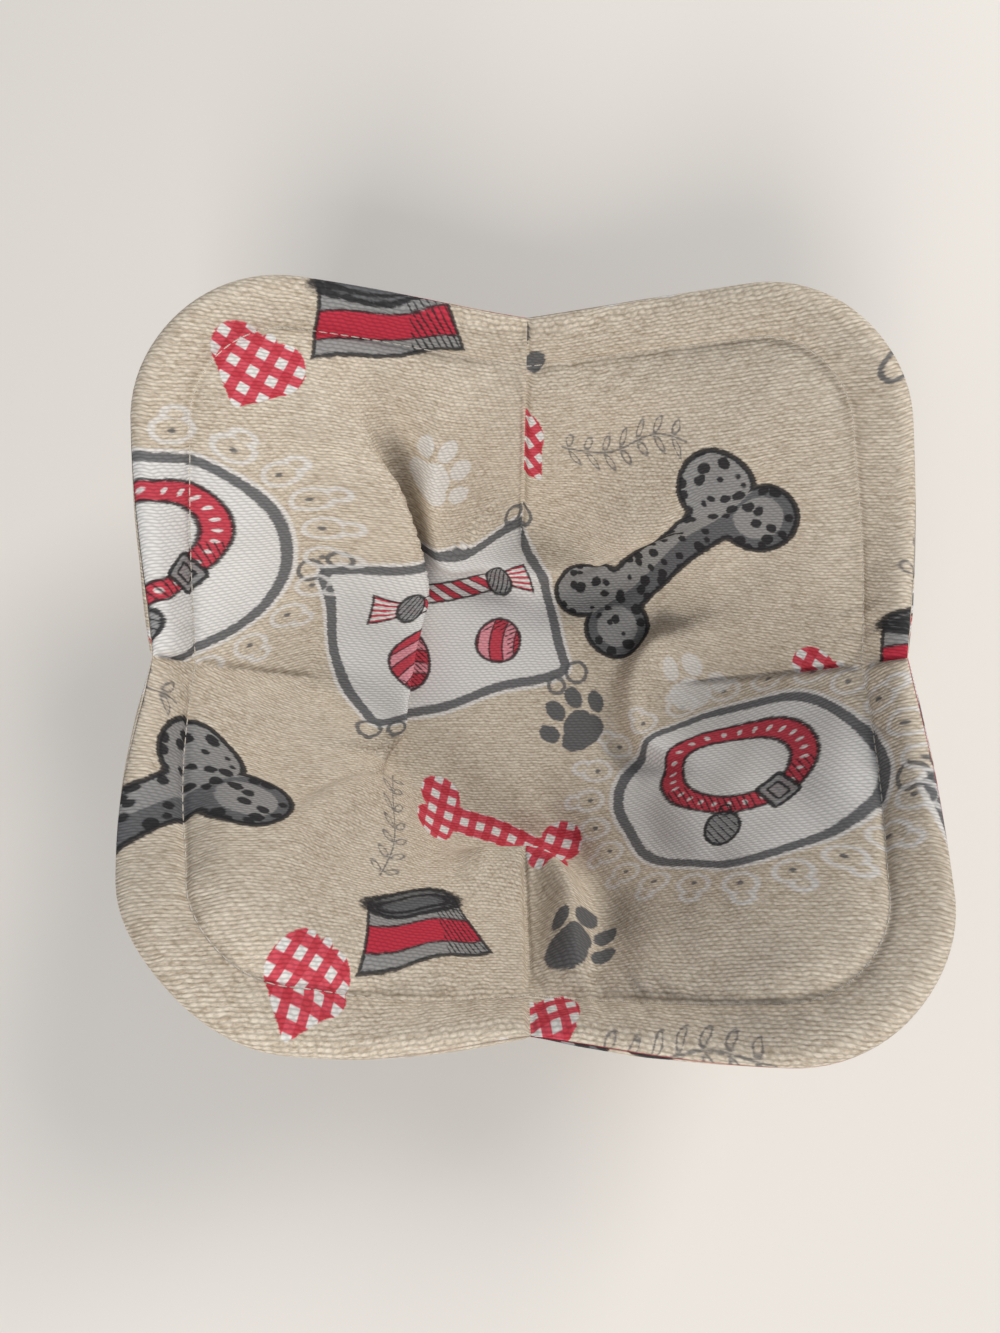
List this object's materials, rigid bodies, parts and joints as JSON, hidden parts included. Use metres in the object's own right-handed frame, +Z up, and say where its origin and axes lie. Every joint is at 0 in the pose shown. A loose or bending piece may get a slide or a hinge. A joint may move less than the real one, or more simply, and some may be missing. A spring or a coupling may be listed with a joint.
{
  "type": "microwave bowl cozy",
  "caption": "Padded printed cloth holder that stands as a shallow open bowl with four pointed petals and sewn darts, to carry a hot bowl.",
  "frame": {"origin": "on the standing surface, under the middle of the flat base, where the lines of the four darts meet", "axes": "+Z up out of the bowl; +X and +Y run to the middles of two neighbouring sides, along dart lines, so the four petals point along the diagonals"},
  "size_m": [0.2063, 0.1961, 0.0893],
  "materials": {
    "lining_print": "matte printed canvas weave",
    "outer_print": "matte printed canvas weave",
    "wadding": "matte cotton fleece"
  },
  "bodies": {
    "root": {"lining_cloth": "lining_print", "outer_cloth": "outer_print", "wadding": "wadding"}
  },
  "joints": []
}
